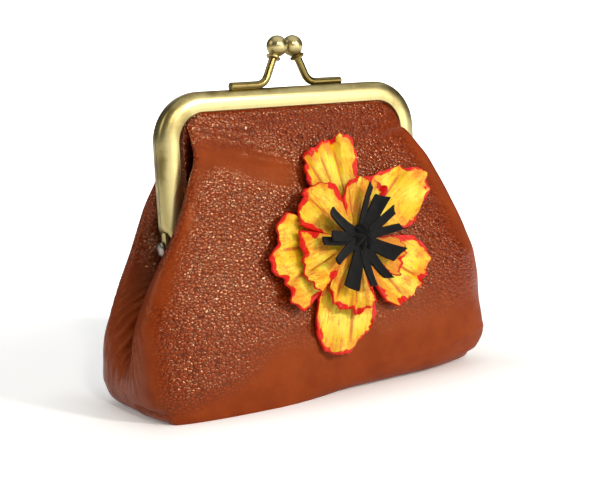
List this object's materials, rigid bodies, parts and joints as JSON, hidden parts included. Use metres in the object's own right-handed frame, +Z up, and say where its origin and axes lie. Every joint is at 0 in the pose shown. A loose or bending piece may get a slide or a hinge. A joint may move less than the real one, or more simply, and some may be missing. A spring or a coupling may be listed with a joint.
{
  "type": "kiss lock coin purse",
  "caption": "Soft leather coin purse pressed into a hinged brass frame with a kiss lock, with a ruffled leather flower on its front.",
  "frame": {"origin": "on the flat base, under the middle of the closed frame", "axes": "+Z up, +X to the right along the frame, -Y out of the front that carries the flower"},
  "size_m": [0.1408, 0.064, 0.1244],
  "materials": {
    "pouch_leather": "chestnut brown, pebbled grain, half gloss",
    "frame_brass": "antique brass, satin",
    "lock_brass": "antique brass, darkened in the corners",
    "rivet_steel": "dull grey metal",
    "petal_leather": "painted yellow with orange strokes and red edges",
    "black_suede": "matt black suede"
  },
  "bodies": {
    "root": {"front_panel": "pouch_leather", "back_panel": "pouch_leather", "front_rail": "frame_brass", "back_rail": "frame_brass", "front_ball": "lock_brass", "back_ball": "lock_brass", "left_rivet": "rivet_steel", "right_rivet": "rivet_steel", "outer_petals": "petal_leather", "inner_petals": "petal_leather", "stamens": "black_suede"}
  },
  "joints": []
}
